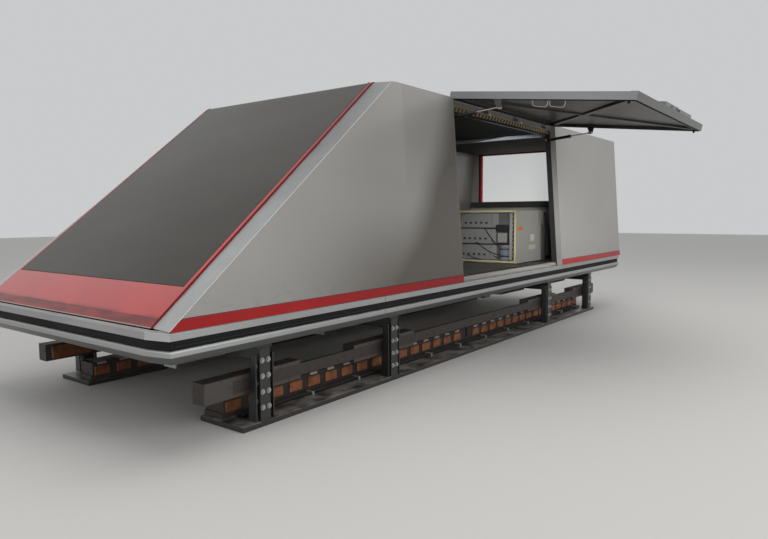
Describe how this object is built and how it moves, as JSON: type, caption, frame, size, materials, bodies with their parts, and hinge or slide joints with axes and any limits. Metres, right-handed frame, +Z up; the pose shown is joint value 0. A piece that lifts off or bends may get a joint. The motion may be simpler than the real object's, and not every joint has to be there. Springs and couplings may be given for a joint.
{
  "type": "magnetic levitation test car",
  "caption": "Wedge-nosed magnetic levitation test car with a dark raked windscreen, gull-wing doors, red foot stripe, banded skirt and wrap-round magnet carriers.",
  "frame": {"origin": "underside of the underframe on the centre line at mid-length", "axes": "+X to the nose, +Y to the car's left side, where the door stands open, +Z up"},
  "size_m": [6, 3.2247, 1.9243],
  "materials": {
    "panel": "satin metallic paint",
    "silver": "satin",
    "glass": "dark tinted, glossy",
    "red": "gloss film",
    "band": "brushed",
    "rubber": "matt",
    "dark": "satin paint",
    "black": "satin paint",
    "cream": "satin",
    "cabinet": "satin paint",
    "steel": "bright",
    "laminate": "laminated iron",
    "cloth": "woven"
  },
  "bodies": {
    "car": {"windscreen_glass": "glass", "windscreen_surround": "red", "roof_panel": "panel", "rear_wall": "panel", "rear_window_trim": "red", "rear_window": "glass", "rear_shelf": "dark", "upper_band": "band", "rubber_band": "rubber", "lower_band": "band", "floor_deck": "dark", "equipment_cabinet": "cabinet", "cabinet_equipment": "black", "bench_base": "black", "bench_cushion": "cloth", "bench_back": "cloth", "driver_console": "dark", "underframe": "black", "converter_box": "black", "nose_corner_left": "silver", "side_front_left": "panel", "side_rear_left": "panel", "door_surround_left": "dark", "door_hinge_left": "steel", "door_sill_left": "cream", "magnet_carrier_left": "black", "lift_magnets_left": "laminate", "guide_magnets_left": "laminate", "skids_left": "steel", "nose_corner_right": "silver", "side_front_right": "panel", "side_rear_right": "panel", "door_surround_right": "dark", "door_hinge_right": "steel", "door_sill_right": "cream", "magnet_carrier_right": "black", "lift_magnets_right": "laminate", "guide_magnets_right": "laminate", "skids_right": "steel"},
    "door_left": {"door_skin_left": "panel", "door_frame_left": "dark", "door_handle_left": "steel", "door_latch_left": "panel"},
    "door_right": {"door_skin_right": "panel", "door_frame_right": "dark", "door_handle_right": "steel", "door_latch_right": "panel"},
    "strut_cylinders_left": {"strut_cylinder_left_front": "black", "strut_cylinder_left_rear": "black"},
    "strut_cylinders_right": {"strut_cylinder_right_front": "black", "strut_cylinder_right_rear": "black"},
    "strut_rods_left": {"strut_rod_left_front": "steel", "strut_rod_left_rear": "steel"},
    "strut_rods_right": {"strut_rod_right_front": "steel", "strut_rod_right_rear": "steel"}
  },
  "joints": [
    {"name": "door_left_hinge", "type": "hinge", "parent": "car", "child": "door_left", "pos_m": [0, 0.875, 1.484], "axis": [1, 0, 0], "range_deg": [-79, 0]},
    {"name": "strut_left_swing", "type": "hinge", "parent": "car", "child": "strut_cylinders_left", "pos_m": [0, 0.857, 1.345], "axis": [1, 0, 0], "range_deg": [-96.9, 0]},
    {"name": "strut_left_slide", "type": "slide", "parent": "strut_cylinders_left", "child": "strut_rods_left", "axis": [0, 0.9959, 0.0901], "range_m": [-0.1468, 0]},
    {"name": "door_right_hinge", "type": "hinge", "parent": "car", "child": "door_right", "pos_m": [0, -0.875, 1.484], "axis": [-1, 0, 0], "range_deg": [0, 79]},
    {"name": "strut_right_swing", "type": "hinge", "parent": "car", "child": "strut_cylinders_right", "pos_m": [0, -0.857, 1.345], "axis": [-1, 0, 0], "range_deg": [0, 96.9]},
    {"name": "strut_right_slide", "type": "slide", "parent": "strut_cylinders_right", "child": "strut_rods_right", "axis": [0, 0.0284, -0.9996], "range_m": [0, 0.1468]}
  ],
  "couplings": [
    {"joint": "strut_left_swing", "follows": "door_left_hinge", "ratio": 1.2253},
    {"joint": "strut_left_slide", "follows": "door_left_hinge", "m_per_rad": 0.10609},
    {"joint": "strut_right_swing", "follows": "door_right_hinge", "ratio": 1.2253},
    {"joint": "strut_right_slide", "follows": "door_right_hinge", "m_per_rad": 0.10609}
  ]
}
